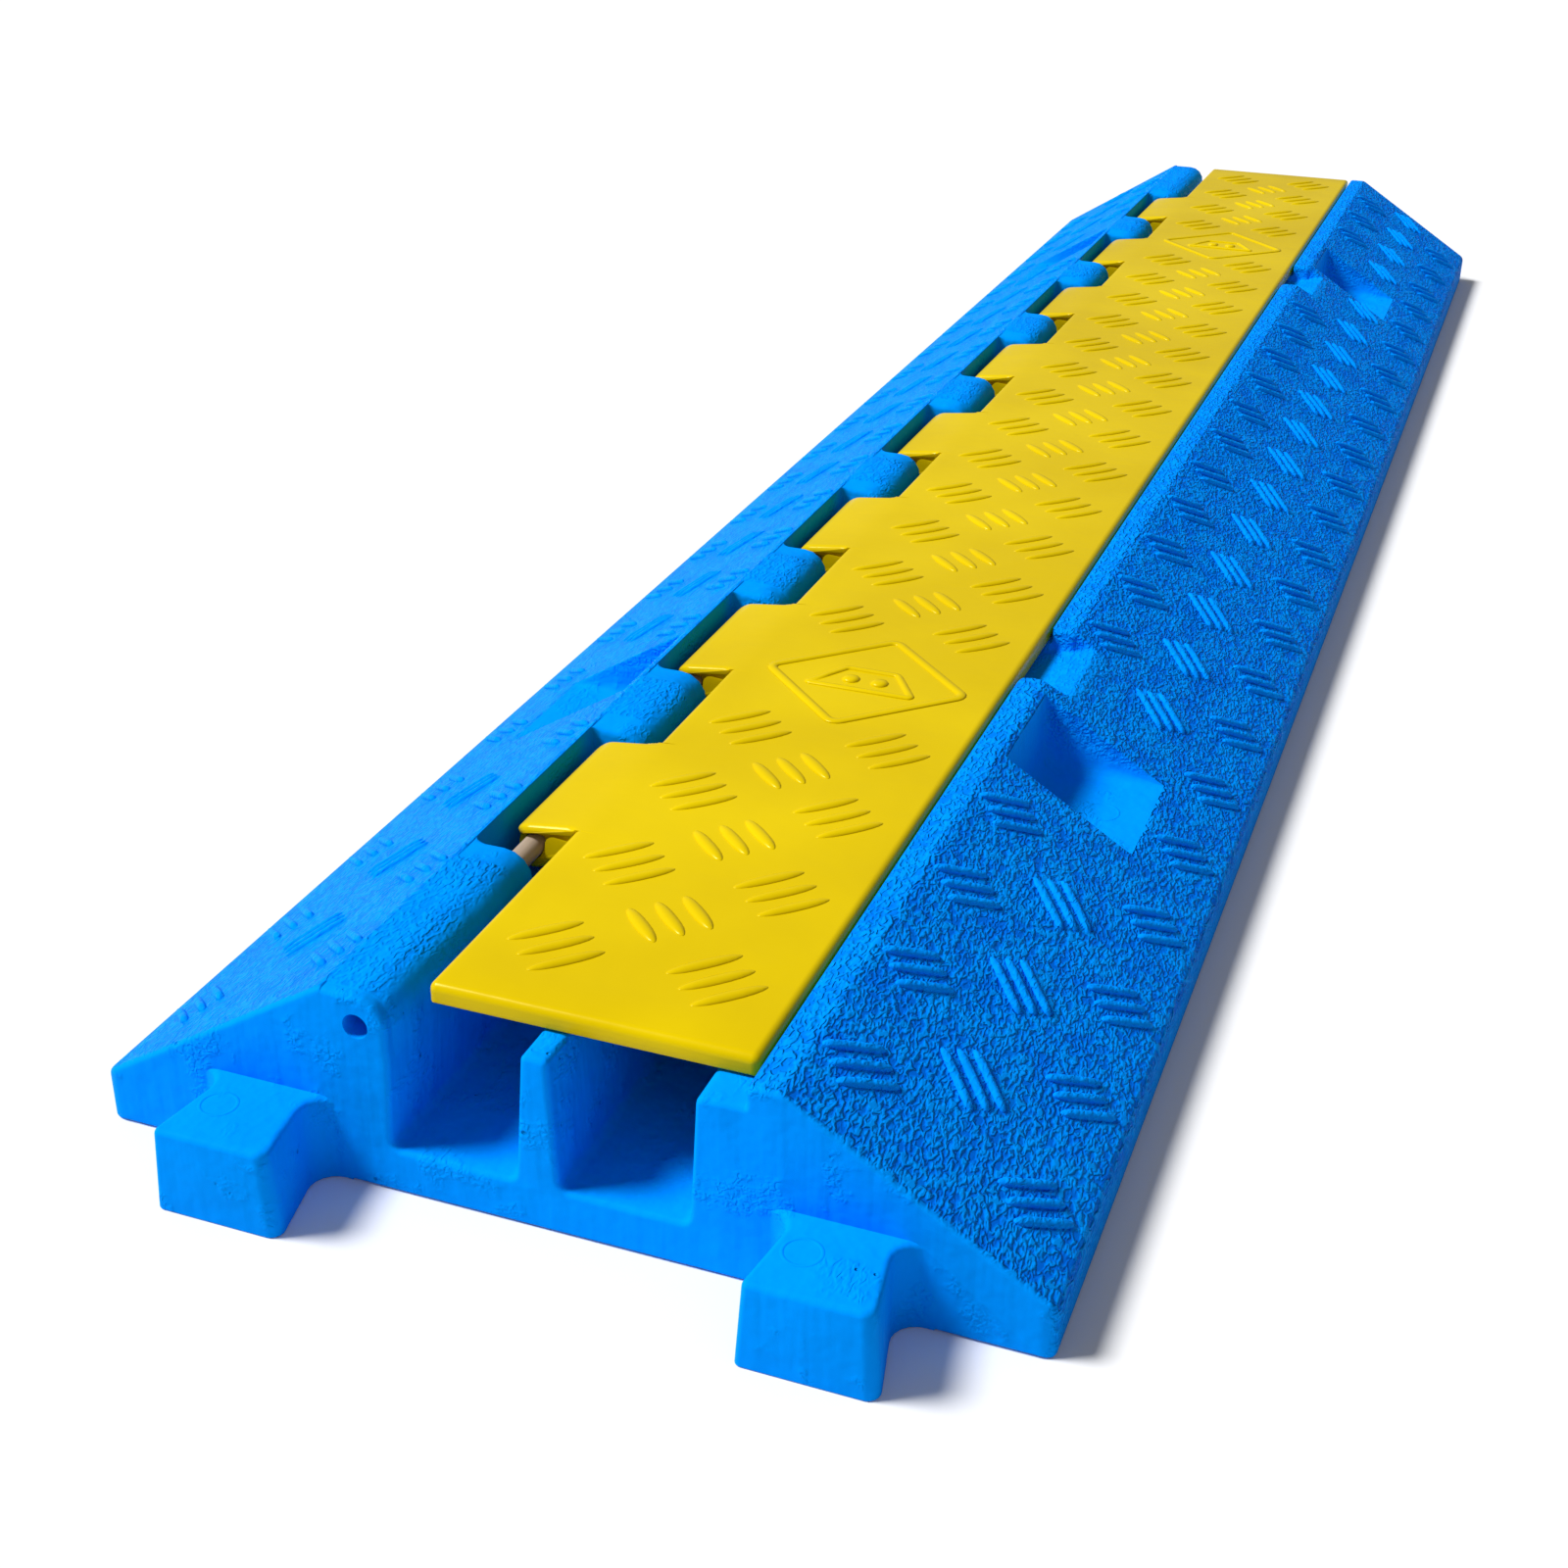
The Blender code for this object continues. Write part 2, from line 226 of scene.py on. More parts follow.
def base_corners(y):
    """Corners of the section with nothing cut into it, and the changes that each opening makes.

    The outline runs up the left side, over the hinge ridge and the channels, down the right side
    and back along the floor.
    """
    # the base is narrower where its upright corners are round, a socket wider away from its mouth
    corner_radius = 0.003
    near_end = np.minimum(HALF_LENGTH - np.abs(y), corner_radius)
    half = HALF_WIDTH - corner_radius + np.sqrt(corner_radius ** 2 - (corner_radius - near_end) ** 2)
    socket = 0.0125 + 0.004 * np.clip((HALF_LENGTH - y) / 0.028, 0, 1)
    plain = {
        "left_foot": (-half, 0, 0.0010, 0),
        "left_edge": (-half, on_slope(half), 0.0016, 1),
        "left_pocket_out": (-0.0978, on_slope(0.0978), 0.0008, 7),
        "left_pocket_root": (-0.0622, on_slope(0.0622), 0.0010, 0),
        "left_pocket_in": (-0.0590, on_slope(0.0590), 0.0005, 0),
        "left_crown": (-CROWN, HEIGHT, 0.0008, 0),
        "hinge_lip": (-0.0558, HEIGHT, 0.0003, 0),
        "hinge_root": (-0.0515, HEIGHT, 0.0015, 0),
        "ridge": (HINGE[0] + KNUCKLE, HEIGHT, KNUCKLE, 1),
        "hinge_brink": (-0.0395, 0.0365, 0.0005, 1),
        "left_floor_out": (-0.0408, CHANNEL_FLOOR, 0.0025, 0),
        "left_floor_in": (-0.0080, CHANNEL_FLOOR, 0.0025, 0),
        "divider_left": (-0.0054, SHELF, 0.0016, 0),
        "divider_right": (0.0014, SHELF, 0.0016, 0),
        "right_floor_in": (0.0030, CHANNEL_FLOOR, 0.0025, 0),
        "right_floor_out": (0.0355, CHANNEL_FLOOR, 0.0025, 0),
        "ledge": (0.0372, SHELF, 0.0022, 0),
        "notch_lip": (0.0437, SHELF, 0.0004, 0),
        "notch_root": (0.0452, SHELF, 0.0004, 0),
        "rim_foot": (RIM_INNER - 0.0002, SHELF, 0.0006, 1),
        "rim_inner": (RIM_INNER, HEIGHT, 0.0014, 1),
        "right_crown": (CROWN, HEIGHT, 0.0012, 0),
        "right_pocket_in": (0.0590, on_slope(0.0590), 0.0005, 0),
        "right_pocket_root": (0.0622, on_slope(0.0622), 0.0010, 1),
        "notch_end": (0.0700, on_slope(0.0700), 0.0010, 6),
        "right_pocket_out": (0.0978, on_slope(0.0978), 0.0008, 1),
        "right_edge": (half, on_slope(half), 0.0016, 0),
        "right_foot": (half, 0, 0.0010, 0),
    }
    for side, centre in (("right", LUG_X), ("left", -LUG_X)):
        for k, (edge, lean) in enumerate(((1, 0), (1, -0.0015), (-1, 0.0015), (-1, 0))):
            plain[f"{side}_socket_{k}"] = (centre + edge * socket + lean, 0, 0.0005, 0)
    openings = {
        "left_pocket": {
            "left_pocket_out": (-0.0978, POCKET_FLOOR, 0.0008, 7),
            "left_pocket_root": (-0.0596, POCKET_FLOOR, 0.0070, 0),
            "left_pocket_in": (-0.0592, on_slope(0.0592), 0.0006, 0),
        },
        "right_pocket": {
            "right_pocket_in": (0.0592, on_slope(0.0592), 0.0006, 0),
            "right_pocket_root": (0.0596, POCKET_FLOOR, 0.0070, 1),
            "notch_end": (0.0720, POCKET_FLOOR, 0.0010, 6),
            "right_pocket_out": (0.0978, POCKET_FLOOR, 0.0008, 1),
        },
        "hinge": {
            "hinge_lip": (-0.0562, HEIGHT, 0.0005, 0),
            "hinge_root": (-0.0562, HINGE_FLOOR, 0.0020, 0),
            "ridge": (-0.0470, HINGE_FLOOR, 0.0030, 1),
            "hinge_brink": (-0.0396, HINGE_FLOOR, 0.0010, 1),
        },
        "notch": {
            "notch_lip": (0.0440, SHELF, 0.0005, 0),
            "notch_root": (0.0440, NOTCH_FLOOR, 0.0005, 0),
            "rim_foot": (RIM_INNER, NOTCH_FLOOR, 0.0006, 1),
            "rim_inner": (0.0535, NOTCH_FLOOR + 0.0007, 0.0006, 1),
            "right_crown": (0.0575, NOTCH_FLOOR + 0.0017, 0.0006, 0),
            "right_pocket_in": (0.0610, NOTCH_FLOOR + 0.0026, 0.0006, 0),
            "right_pocket_root": (0.0645, on_slope(0.0645), 0.0010, 1),
        },
        "socket": {},
    }
    for side, centre in (("right", LUG_X), ("left", -LUG_X)):
        for k, edge in ((1, 1), (2, -1)):
            openings["socket"][f"{side}_socket_{k}"] = (centre + edge * socket, 0.0245, 0.0010, 0)
    return plain, openings


def base_surface():
    """Points of the base as rows along Y, with a mask that is 1 where the mould is grained.

    A row's outline is the plain section plus, for each opening, the way from the plain to the cut
    section, as far as the opening's walls have gone down at that row.
    """
    walls = {          # opening: spans, radius of the brink, radius of the root
        "left_pocket": (HAND_POCKETS, 0.0006, 0.0045),
        "right_pocket": (HAND_POCKETS, 0.0006, 0.0045),
        "hinge": (HINGE_GAPS, 0.0024, 0.0015),
        "notch": (NOTCHES, 0.0018, 0.0012),
        "socket": (SOCKETS, 0.0005, 0.0020),
    }
    band = 0.0098      # smooth length at each end of a knuckle
    border = 0.0035    # and where the first and the last knuckle meet the end faces
    step = 0.0005      # length of the ramp between the two levels
    proud = 0.00035    # height of the grained band above the smooth ends
    end_radius = 0.0016
    bowed = 0.010      # length of rim that the round ends of a notch reach
    rows = [wall_rows(*walls[n]) for n in ("left_pocket", "hinge", "notch", "socket")]
    rows += [end_rows(-HALF_LENGTH, HALF_LENGTH, end_radius), end_rows(-HALF_LENGTH, HALF_LENGTH, 0.003)]
    for k in (0, 1):
        away = HINGE_GAPS[:, k] + (-band if k == 0 else band)
        rows.append(np.concatenate((away, away + (-step if k == 0 else step))))
    rows.append(np.array([-1, -1, 1, 1]) * (HALF_LENGTH - border - np.array([0, step, 0, step])))
    for wall in NOTCHES.ravel():
        rows.append(wall + np.linspace(-bowed, bowed, 9))
    y = spread_rows(np.concatenate(rows), -HALF_LENGTH, HALF_LENGTH, 0.012)
    plain, openings = base_corners(y)
    names = list(plain)
    steps = 4
    inset = end_inset(y, -HALF_LENGTH, HALF_LENGTH, end_radius)
    shape = outline(list(plain.values()), steps, inset)
    normal = inward(shape)
    section = shape.copy()
    open_share = np.zeros(shape.shape[:2])      # above 0 where an opening's wall or floor is
    for name, changed in openings.items():
        cut = outline([changed.get(n, plain[n]) for n in names], steps, inset)
        move = cut - shape
        depth = np.linalg.norm(move, axis=2)
        spans, edge, root = walls[name]
        done = sunk(inside(y, spans), depth, edge, root) / np.maximum(depth, 1e-9)
        done = np.where(depth > 1e-6, done, 0)
        section += move * done[..., None]
        bare = 1.0
        if name == "notch":
            notch_depth = depth
            bare = 0.1                          # its floor keeps some of the grain
        open_share = np.maximum(open_share, np.where(depth > 3e-4, done * bare, 0))

    # each knuckle's grained band stands proud of its smooth ends
    gap = inside(y, HINGE_GAPS)
    smooth = np.clip((gap + band + step) / step, 0, 1)
    smooth = np.maximum(smooth, np.clip((np.abs(y) - HALF_LENGTH + border + step) / step, 0, 1))
    first = {n: sum(steps + 1 + plain[m][3] for m in names[:i]) for i, n in enumerate(names)}
    index = np.arange(shape.shape[1])
    ridge = (index >= first["hinge_lip"]) & (index < first["hinge_brink"])
    sink = proud * smooth[:, None] * ridge * (1 - open_share)
    section += normal * sink[..., None]

    # the rim's cut ends are round in plan, less so on the side of the slope
    rim_middle = (RIM_INNER + CROWN) / 2
    rim_radius = (CROWN - RIM_INNER) / 2
    off = np.clip((shape[..., 0] - rim_middle) / rim_radius, -1, 1)
    bow = rim_radius * (1 - np.sqrt(1 - off ** 2)) * np.where(off > 0, 0.25, 1)
    bow = bow * np.clip(notch_depth / 0.003, 0, 1)
    shift = np.zeros_like(bow)
    for low, high in NOTCHES:
        shift -= bow * np.clip(1 - np.abs(y - low) / bowed, 0, 1)[:, None]
        shift += bow * np.clip(1 - np.abs(y - high) / bowed, 0, 1)[:, None]
    points = np.stack((section[..., 0], y[:, None] + shift, section[..., 1]), 2)

    # grain: strongest on the right slope, then the rim, the left slope and the ridge's bands; the same
    # mask sets how much painted shade darkens the valleys between the wrinkles
    top = (index >= first["left_edge"]) & (index < first["ridge"] + 2)
    top |= (index > first["rim_foot"] + steps + 1) & (index < first["right_foot"])
    near_end = np.clip((HALF_LENGTH - np.abs(y)) / end_radius, 0, 1) ** 2
    x = shape[..., 0]
    strength = np.select((ridge, x < 0, x < CROWN + 0.0002), (0.34, 0.62, 0.65), 1.0)
    grain = strength * top * near_end[:, None]
    grain *= (1 - np.clip(6 * open_share, 0, 1)) * (1 - smooth[:, None] * ridge)
    return points, grain


def settled(obj, *steps):
    """Runs the given Boolean steps, (operation, tool), and keeps the result as the object's mesh."""
    for operation, tool in steps:
        cut = obj.modifiers.new(tool.name, "BOOLEAN")
        cut.operation = operation
        cut.solver = "EXACT"
        cut.object = tool
    bpy.context.view_layer.update()
    finished = bpy.data.meshes.new_from_object(obj.evaluated_get(bpy.context.evaluated_depsgraph_get()))
    obj.modifiers.clear()
    obj.data = finished
    for _, tool in steps:
        bpy.data.objects.remove(tool, do_unlink=True)
    finished.set_sharp_from_angle(angle=SHARP)
    return obj


def round_bar(name, radius, low, high, around=48, chamfer=0.0):
    """Round bar on the hinge axis: circles of 'around' points at low and high along Y.

    A chamfer adds a circle next to each end, and takes its width off the radius of the end ones.
    """
    angle = np.radians(np.arange(around) * 360 / around)
    stations = [(low, radius), (high, radius)]
    if chamfer:
        stations = [(low, radius - chamfer), (low + chamfer, radius),
                    (high - chamfer, radius), (high, radius - chamfer)]
    y, r = np.array(stations).T[..., None]
    turn = np.stack((np.cos(angle), np.zeros(around), np.sin(angle)), 1)
    rings = (HINGE[0], 0, HINGE[2]) + r[..., None] * turn + y[..., None] * (0, 1, 0)
    return solid(name, rings, tube_faces(len(stations), around))


def lug(centre_x):
    """Dovetail lug: a plan outline, wider at its tip and flared where it leaves the end face,
    carried up Z and drawn in round its top and bottom edges."""
    reach = 0.026
    height = LUG_HEIGHT
    inner = 0.0001
    turn = np.radians(np.linspace(0, 90, 6))
    foot, edge = 0.0006, 0.0016
    z = np.concatenate((foot - foot * np.sin(turn[::-1]), height - edge + edge * np.sin(turn)))
    drawn_in = np.concatenate((foot - foot * np.cos(turn[::-1]), edge - edge * np.cos(turn)))
    tip = 0.0152 + 0.0018 * (1 - z / height)
    corners = [
        (-tip, -reach, 0.0020, 0), (-0.0113, inner, 0.0075, 0), (-0.021, inner, 0.0002, 0),
        (-0.021, 0.005, 0.0005, 0), (0.021, 0.005, 0.0005, 0), (0.021, inner, 0.0002, 0),
        (0.0113, inner, 0.0075, 0), (tip, -reach, 0.0038, 0),
    ]
    plan = outline(corners, 6, drawn_in)
    rings = np.stack((
        plan[..., 0] + centre_x, plan[..., 1] - HALF_LENGTH, np.broadcast_to(z[:, None], plan.shape[:2]),
    ), 2)
    return solid("lug", rings, tube_faces(*rings.shape[:2]))


base_points, base_grain = base_surface()
base = solid("base_casting", base_points, tube_faces(*base_points.shape[:2]))
base.data.attributes.new("grain", "FLOAT", "POINT").data.foreach_set("value", base_grain.ravel())
settled(
    base,
    ("UNION", lug(-LUG_X)),
    ("UNION", lug(LUG_X)),
    ("DIFFERENCE", round_bar("bore", BORE, -HALF_LENGTH - PAST_ENDS, HALF_LENGTH + PAST_ENDS)),
)


def shader_group(name, inputs, outputs):
    """Empty shader group with the given float inputs, {name: default}, and outputs."""
    group = bpy.data.node_groups.new(name, "ShaderNodeTree")
    for socket, default in inputs.items():
        made = group.interface.new_socket(socket, in_out="INPUT", socket_type="NodeSocketFloat")
        made.default_value = default
    for socket in outputs:
        group.interface.new_socket(socket, in_out="OUTPUT", socket_type="NodeSocketFloat")
    return group, group.nodes.new("NodeGroupInput"), group.nodes.new("NodeGroupOutput")


def node(tree, kind, settings=None, **values):
    """Adds a node, sets its properties and the defaults of its inputs, and links given sockets.

    values are named after the inputs with _ for a space, or in0, in1 for an input's place.
    """
    made = tree.nodes.new(kind)
    for key, value in (settings or {}).items():
        setattr(made, key, value)
    for key, value in values.items():
        place = int(key[2:]) if key[:2] == "in" and key[2:].isdigit() else key.replace("_", " ")
        if isinstance(value, bpy.types.NodeSocket):
            tree.links.new(value, made.inputs[place])
        else:
            made.inputs[place].default_value = value
    return made


def calc(tree, operation, *values):
    """Output of a Math node on the given numbers and sockets."""
    inputs = {f"in{k}": value for k, value in enumerate(values)}
    return node(tree, "ShaderNodeMath", {"operation": operation}, **inputs).outputs[0]


def grain_group():
    """Mould grain: short worm-shaped wrinkles, longer along the ramp than across it.

    Height = 0 to 1, smooth step over 'Softness' either side of the middle of a warped noise, which
    a slower noise, Patch, shifts a little, so that the wrinkles crowd in some patches.
    """
    group, given, out = shader_group("mould_grain", {"Scale": 800.0, "Softness": 0.1}, ["Height", "Patch"])
    place = node(group, "ShaderNodeTexCoord").outputs["Object"]
    place = node(group, "ShaderNodeMapping", Vector=place, Scale=(1, 0.5, 1)).outputs[0]
    noise = node(group, "ShaderNodeTexNoise", Vector=place, Scale=given.outputs["Scale"], Detail=0.0,
                 Distortion=0.8).outputs[0]
    patch = node(group, "ShaderNodeTexNoise", Vector=place, Scale=150.0, Detail=2.0).outputs[0]
    off = calc(group, "SUBTRACT", noise, calc(group, "MULTIPLY_ADD", patch, 0.2, 0.4))
    part = calc(group, "DIVIDE", off, given.outputs["Softness"])
    ridge = node(group, "ShaderNodeMapRange", {"interpolation_type": "SMOOTHSTEP"}, Value=part, From_Min=-1.0)
    group.links.new(ridge.outputs[0], out.inputs["Height"])
    group.links.new(patch, out.inputs["Patch"])
    return group


def principled(name, colour, roughness, **values):
    """Material with one Principled shader; returns it with its tree and shader."""
    made = bpy.data.materials.new(name)
    made.use_nodes = True
    shader = made.node_tree.nodes["Principled BSDF"]
    shader.inputs["Base Color"].default_value = (*colour, 1.0)
    shader.inputs["Roughness"].default_value = roughness
    for key, value in values.items():
        shader.inputs[key.replace("_", " ")].default_value = value
    return made, made.node_tree, shader


GRAIN = grain_group()
BLUE = (0.0, 0.282, 0.96)
# deeper blue: random patches, and painted shade in the valleys between the wrinkles
BLUE_PATCHES_AND_PAINTED_SHADE = (0.0, 0.150, 0.80)


def blue_polyurethane():
    """Satin blue casting. Where the mould is textured it is wrinkled, with painted shade, a deeper blue,
    in the valleys between the wrinkles, and the same deeper blue in slow random patches; elsewhere it
    has flow marks, upright streaks, and patches of pits and faint wrinkles."""
    made, tree, shader = principled("blue_polyurethane", BLUE, 0.46, Specular_IOR_Level=0.005,
                                    Specular_Tint=(0.05, 0.5, 1.0, 1))
    place = node(tree, "ShaderNodeTexCoord").outputs["Object"]
    grained = node(tree, "ShaderNodeAttribute", {"attribute_name": "grain"}).outputs["Fac"]
    grain = node(tree, "ShaderNodeGroup", {"node_tree": GRAIN}, Scale=800.0, Softness=0.24).outputs
    flow = node(tree, "ShaderNodeTexNoise", Vector=place, Scale=60.0, Detail=3.0, Roughness=0.55).outputs[0]
    upright = node(tree, "ShaderNodeMapping", Vector=place, Scale=(1, 1, 0.08)).outputs[0]
    streaks = node(tree, "ShaderNodeTexNoise", Vector=upright, Scale=170.0, Detail=2.0).outputs[0]
    cells = node(tree, "ShaderNodeTexVoronoi", Vector=place, Scale=210.0).outputs["Distance"]
    pit = node(tree, "ShaderNodeMapRange", {"interpolation_type": "SMOOTHSTEP"}, Value=cells, From_Max=0.13,
               To_Min=-1.0, To_Max=0.0).outputs[0]
    patchy = node(tree, "ShaderNodeMapRange", Value=flow, From_Min=0.53, From_Max=0.60).outputs[0]
    marks = calc(tree, "MULTIPLY_ADD", streaks, 0.45, flow)
    marks = calc(tree, "MULTIPLY_ADD", calc(tree, "MULTIPLY", pit, patchy), 1.2, marks)
    marks = calc(tree, "MULTIPLY_ADD", calc(tree, "MULTIPLY", grain["Height"], patchy), 0.18, marks)
    height = node(tree, "ShaderNodeMix", {"data_type": "FLOAT"}, Factor=grained,
                  A=calc(tree, "MULTIPLY", marks, 1.4), B=grain["Height"])
    bump = node(tree, "ShaderNodeBump", Strength=1.0, Distance=0.0008, Height=height.outputs[0])
    tree.links.new(bump.outputs[0], shader.inputs["Normal"])
    # painted shade: deeper blue where the wrinkles are low, in their valleys, plus slow random patches, as
    # far as the grain mask goes
    cloud = calc(tree, "MULTIPLY_ADD", grain["Patch"], 1.4, 0.3)
    shade = calc(tree, "MULTIPLY", calc(tree, "SUBTRACT", cloud, grain["Height"]), grained)
    tint = node(tree, "ShaderNodeMix", {"data_type": "RGBA"}, Factor=shade, A=(*BLUE, 1), B=(*BLUE_PATCHES_AND_PAINTED_SHADE, 1))
    tree.links.new(tint.outputs["Result"], shader.inputs["Base Color"])
    return made


base_material = blue_polyurethane()
base.data.materials.clear()
base.data.materials.append(base_material)
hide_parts("base_moulding")
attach(base, "base")

# ---------------------------------------------------------------------------------------------
# Lid. A smooth yellow plate, injection moulded in one with eight hinge tabs; its edges are
# rounded, and it lies on the ledge and the divider.

lid_low, lid_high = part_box("lid")
LID_LEFT = -0.0343
LID_RIGHT = lid_high[0]
LID_UNDER = SHELF + 0.0003
BARREL = 0.0063


def lid_surface():
    """Points of the lid as rows along Y.

    A row's outline is the plate's alone between the tabs and the plate's with a tab's at a tab,
    whose left part follows the hinge barrel; a tab's outer corners are round in plan.
    """
    edge = 0.0022
    spans = np.column_stack((TAB_STARTS, TAB_STARTS + TAB_LENGTH))
    low, high = lid_low[1], lid_high[1]
    side, plan_radius = 0.0020, 0.0060
    rows = [wall_rows(spans, 0.0006, 0.0020), end_rows(low, high, edge)]
    steps_in = plan_radius * (1 - np.cos(np.radians(np.linspace(10, 90, 8))))
    rows += [spans[:, k, None].ravel() + sign * t for k, sign in ((0, 1), (1, -1)) for t in steps_in]
    y = spread_rows(np.concatenate(rows), low, high, 0.012)

    inset = end_inset(y, low, high, edge)
    under = LID_UNDER - 0.6 * inset      # drawing in lifts it by 'inset', so the lower edge is less round
    right = [(LID_RIGHT, HEIGHT, edge, 0), (LID_RIGHT, under, 0.0009, 3)]
    plate = [
        (LID_LEFT + 0.0040, under, 0.0004, 0), (LID_LEFT + 0.0020, under, 0.0004, 0),
        (LID_LEFT, under, 0.0009, 0), (LID_LEFT, HEIGHT, edge, 0), (LID_LEFT + 0.0060, HEIGHT, 0.0010, 2),
    ]
    left, right_of_barrel = HINGE[0] - BARREL, HINGE[0] + BARREL
    tab = [
        (right_of_barrel, LID_UNDER, 0.0008, 0), (right_of_barrel, HINGE[2] - BARREL, BARREL, 0),
        (left, HINGE[2] - BARREL, BARREL, 0), (left, HINGE[2] + BARREL - 0.0003, BARREL - 0.0003, 0),
        (LID_LEFT + 0.0010, HEIGHT, 0.0040, 2),
    ]
    s = inside(y, spans)
    near = np.clip(s - DRAFT, 0, side)
    drawn_in = side - np.sqrt(side ** 2 - (side - near) ** 2)
    steps = 8
    plain = outline(plate + right, steps, inset)
    square = outline(tab + right, steps)
    rounded = outline(tab + right, steps, drawn_in)
    out = np.clip((LID_LEFT - square[..., 0]) / 0.002, 0, 1)[..., None]
    tabbed = square + (rounded - square) * out
    on_tab = np.clip(s / DRAFT, 0, 1)[:, None]
    section = plain + (tabbed - plain) * on_tab[..., None]

    tip = np.clip(HINGE[0] - BARREL + plan_radius - square[..., 0], 0, plan_radius)
    bow = (plan_radius - np.sqrt(plan_radius ** 2 - tip ** 2)) * on_tab
    shift = np.zeros(section.shape[:2])
    for start, end in spans:
        shift += bow * (np.clip(1 - np.abs(y - start) / 0.012, 0, 1) * (y >= start))[:, None]
        shift -= bow * (np.clip(1 - np.abs(y - end) / 0.012, 0, 1) * (y <= end))[:, None]
    return np.stack((section[..., 0], y[:, None] + shift, section[..., 1]), 2)


lid_points = lid_surface()
lid = solid("lid_plate", lid_points, tube_faces(*lid_points.shape[:2]))
settled(lid, ("DIFFERENCE", round_bar("bore", BORE, -HALF_LENGTH - PAST_ENDS, HALF_LENGTH + PAST_ENDS)))
YELLOW = (0.735, 0.540, 0.0)
YELLOW_DEEP = (0.655, 0.470, 0.0)


def yellow_plastic():
    """Smooth glossy yellow with the slow waviness and the faint clouds of a moulded plate."""
    made, tree, shader = principled("yellow_plastic", YELLOW, 0.24, Specular_IOR_Level=0.20,
                                    Specular_Tint=(1.0, 0.92, 0.35, 1))
    place = node(tree, "ShaderNodeTexCoord").outputs["Object"]
    waves = node(tree, "ShaderNodeTexNoise", Vector=place, Scale=30.0, Detail=3.0, Roughness=0.55)
    bump = node(tree, "ShaderNodeBump", Strength=0.5, Distance=0.0010, Height=waves.outputs[0])
    tree.links.new(bump.outputs[0], shader.inputs["Normal"])
    clouds = node(tree, "ShaderNodeTexNoise", Vector=place, Scale=14.0, Detail=2.0).outputs[0]
    amount = node(tree, "ShaderNodeMapRange", Value=clouds, From_Min=0.35, From_Max=0.65).outputs[0]
    tint = node(tree, "ShaderNodeMix", {"data_type": "RGBA"}, Factor=amount, A=(*YELLOW, 1),
                B=(*YELLOW_DEEP, 1))
    tree.links.new(tint.outputs["Result"], shader.inputs["Base Color"])
    return made


lid_material = yellow_plastic()
lid.data.materials.clear()
lid.data.materials.append(lid_material)
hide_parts("lid")
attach(lid, "lid")

# ---------------------------------------------------------------------------------------------
# Tread bars. Groups of three slanting bars, moulded in one with the ramps and the lid and sunk a
# little into them. The lid has two raised diamonds between them, each round a small section of a
# ramp with two cables. The base also has the faint rings that ejector pins leave.


def bar_shape(length, width, height, soft, blunt, rings=11, around=10):
    """One bar as rings across its length: (rings, around, 3) of (along, across, up).

    Half width = width / 2 * sqrt(1 - |u|^blunt) and crest = height * (1 - |u|^(2 + blunt)), with u
    from -1 to 1; blunt is 2 for a grain of rice and more for straighter sides and blunter ends.
    A ring's top is crest * sin^soft, from a block's at 0.6 to a bell at 1.4; the rest is sunk.
    """
    u = np.sin(np.linspace(-1, 1, rings) * math.pi / 2 * 0.985)
    half = width / 2 * np.sqrt(1 - np.abs(u) ** blunt)
    top = height * (1 - np.abs(u) ** (2 + blunt))
    turn = np.linspace(0, 2 * math.pi, around, endpoint=False)
    across = half[:, None] * np.cos(turn)
    up = np.where(np.sin(turn) > 1e-6, top[:, None] * np.abs(np.sin(turn)) ** soft, -0.0002)
    up = np.where(np.sin(turn) < -1e-6, -0.0006, up)
    along = np.broadcast_to((u * length / 2)[:, None], across.shape)
    return np.stack((along, across, up), 2)


def moulded_on(name, mesh, material, body):
    """Object of detail that is moulded in one with a body."""
    mesh.shade_smooth()
    mesh.materials.append(material)
    obj = linked(name, mesh)
    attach(obj, body)
    return obj


def ridges(name, paths, material, body):
    """Raised lines round closed paths, given as (path, z, width, height) in one object.

    A ring stands at each point of a path: a half ellipse above the surface, sunk 0.4 mm below it.
    """
    turn = np.linspace(0, 2 * math.pi, 8, endpoint=False)
    points, faces = [], []
    for path, z, width, height in paths:
        across = width / 2 * np.cos(turn)
        up = np.where(np.sin(turn) > 0, height * np.abs(np.sin(turn)) ** 1.2, -0.0004)
        flat = path[:, None] + inward(path[None])[0][:, None] * across[None, :, None]
        ring = np.concatenate((flat, np.broadcast_to((z + up)[None, :, None], flat.shape[:2] + (1,))), 2)
        first = 8 * sum(len(p) for p in points)
        a = first + 8 * np.arange(len(path))[:, None] + np.arange(8)
        b = np.roll(a, -1, 1)
        quads = np.stack((a, np.roll(a, -1, 0), np.roll(b, -1, 0), b), 2)
        points.append(ring)
        faces += quads.reshape(-1, 4).tolist()
    mesh = bpy.data.meshes.new(name)
    mesh.from_pydata(np.concatenate(points).reshape(-1, 3), [], faces)
    return moulded_on(name, mesh, material, body)


def tread(name, bars, frames, material, body):
    """All the bars of one piece in one object.

    frames is (bars, 4, 3): a bar's middle, and the unit vectors along it, across it and up.
    """
    rings, around = bars[0].shape[:2]
    local = np.array(bars)
    points = frames[:, None, None, 0] + np.einsum("brak,bkx->brax", local, frames[:, 1:])
    one = tube_faces(rings, around)
    size = rings * around
    faces = [[i + k * size for i in face] for k in range(len(bars)) for face in one]
    mesh = bpy.data.meshes.new(name)
    mesh.from_pydata(points.reshape(-1, 3), [], faces)
    return moulded_on(name, mesh, material, body)


